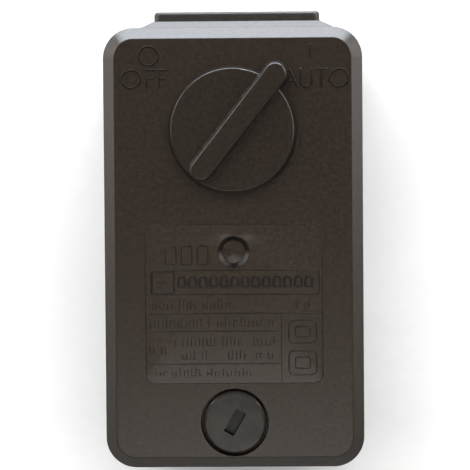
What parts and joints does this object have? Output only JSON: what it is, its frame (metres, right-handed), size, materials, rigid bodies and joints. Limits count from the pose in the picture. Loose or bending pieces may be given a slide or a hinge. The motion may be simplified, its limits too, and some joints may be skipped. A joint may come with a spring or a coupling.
{
  "type": "motor pressure switch",
  "caption": "Motor pressure switch in a moulded housing, with a turn knob, a slotted cover screw, cable entries and a threaded port.",
  "frame": {"origin": "centre of the threaded port's mouth, on the hexagon's flat end face", "axes": "+Z from the port to the cover's face, +Y to the cable entries, +X to the right of the cover seen from the front with the knob at the top"},
  "size_m": [0.057, 0.1022, 0.1007],
  "materials": {
    "cover_plastic": "moulded, fine satin grain, near-black brown",
    "base_plastic": "moulded, satin black",
    "knob_plastic": "moulded, satin black-brown",
    "screw_plastic": "moulded, smooth and slightly glossy",
    "plate_plastic": "moulded, satin black",
    "grommet_rubber": "soft black rubber",
    "seal_rubber": "black nitrile rubber",
    "cast_alloy": "die cast, shot blasted",
    "plated_steel": "bright zinc plated",
    "passivated_steel": "yellow passivated zinc plate",
    "spring_steel": "drawn wire, oiled",
    "stud_steel": "turned, zinc plated",
    "brass": "turned or stamped, dull",
    "silver_alloy": "silver alloy, matt",
    "block_plastic": "thermoset moulding, dark grey",
    "carrier_plastic": "moulded, red-brown",
    "cam_plastic": "acetal, natural"
  },
  "bodies": {
    "housing": {"cover_gasket": "seal_rubber", "cover_pillar": "brass", "base": "base_plastic", "pressure_flange": "cast_alloy", "flange_screws": "plated_steel", "diaphragm": "seal_rubber", "chassis": "passivated_steel", "spring_bridge": "passivated_steel", "lever_pin": "stud_steel", "lever_pin_clips": "spring_steel", "main_spring": "spring_steel", "differential_spring": "spring_steel", "contact_block": "block_plastic", "contact_block_screws": "plated_steel", "fixed_contact_tips": "silver_alloy", "snap_blade": "spring_steel", "terminal_screws": "plated_steel", "terminal_clamps": "plated_steel", "earth_screw": "brass", "earth_clamp": "plated_steel", "entry_plate": "plate_plastic", "entry_plate_screws": "stud_steel", "cable_grommets": "grommet_rubber", "fixed_contact_1": "brass", "fixed_contact_2": "brass", "fixed_contact_3": "brass", "fixed_contact_4": "brass", "fixed_contact_5": "brass", "fixed_contact_6": "brass"},
    "cover": {"cover": "cover_plastic", "cover_screw_seal": "seal_rubber"},
    "selector": {"selector_knob": "knob_plastic", "knob_o_ring": "seal_rubber", "knob_clip": "spring_steel", "knob_cam": "cam_plastic"},
    "cover_screw": {"cover_screw_head": "screw_plastic", "cover_screw_stud": "stud_steel", "cover_screw_retainer": "cam_plastic"},
    "lever": {"main_lever": "plated_steel", "main_spring_seat": "plated_steel", "differential_spring_seat": "plated_steel"},
    "plunger": {"thrust_plunger": "cam_plastic"},
    "main_screw": {"main_adjusting_screw": "plated_steel"},
    "main_nut": {"main_spring_nut": "plated_steel"},
    "differential_screw": {"differential_adjusting_screw": "plated_steel"},
    "differential_nut": {"differential_spring_nut": "plated_steel"},
    "carrier": {"contact_carrier": "carrier_plastic", "bridge_contact_tips": "silver_alloy", "bridge_contact_1": "brass", "bridge_contact_2": "brass", "bridge_contact_3": "brass", "contact_spring_1": "spring_steel", "contact_spring_2": "spring_steel", "contact_spring_3": "spring_steel"}
  },
  "joints": [
    {"name": "cover_lift", "type": "slide", "parent": "housing", "child": "cover", "axis": [0, 0, 1], "range_m": [0, 0.06]},
    {"name": "cover_screw_turn", "type": "hinge", "parent": "cover", "child": "cover_screw", "pos_m": [0, -0.0384, 0.086], "axis": [0, 0, 1], "continuous": true},
    {"name": "carrier_drop", "type": "slide", "parent": "housing", "child": "carrier", "axis": [0, 0, -1], "range_m": [0, 0.003], "deforming": ["snap_blade"]},
    {"name": "knob_turn", "type": "hinge", "parent": "cover", "child": "selector", "pos_m": [0, 0.026, 0.09], "axis": [0, 0, 1], "range_deg": [0, 76]},
    {"name": "plunger_lift", "type": "slide", "parent": "housing", "child": "plunger", "axis": [0, 0, 1], "range_m": [0, 0.001]},
    {"name": "lever_tilt", "type": "hinge", "parent": "housing", "child": "lever", "pos_m": [0, 0.009, 0.0295], "axis": [-1, 0, 0], "range_deg": [0, 6.37], "stiffness_Nm_per_rad": 0.6, "springref_deg": -11.46, "deforming": ["main_spring", "differential_spring"]},
    {"name": "main_nut_slide", "type": "slide", "parent": "housing", "child": "main_nut", "axis": [0, 0, 1], "range_m": [-0.003, 0.003], "deforming": ["main_spring"]},
    {"name": "main_adjust_turn", "type": "hinge", "parent": "housing", "child": "main_screw", "pos_m": [0, -0.012, 0.068], "axis": [0, 0, 1], "range_deg": [-1080.1, 1080.1]},
    {"name": "differential_nut_slide", "type": "slide", "parent": "housing", "child": "differential_nut", "axis": [0, 0, 1], "range_m": [-0.0021, 0.0021], "deforming": ["differential_spring"]},
    {"name": "differential_adjust_turn", "type": "hinge", "parent": "housing", "child": "differential_screw", "pos_m": [0, -0.026, 0.068], "axis": [0, 0, 1], "range_deg": [-1080.1, 1080.1]}
  ],
  "couplings": [
    {"joint": "knob_turn", "follows": "carrier_drop", "rad_per_m": 442.15},
    {"joint": "lever_tilt", "follows": "plunger_lift", "rad_per_m": 111.11},
    {"joint": "main_adjust_turn", "follows": "main_nut_slide", "rad_per_m": -6283.2},
    {"joint": "differential_adjust_turn", "follows": "differential_nut_slide", "rad_per_m": -8976}
  ]
}
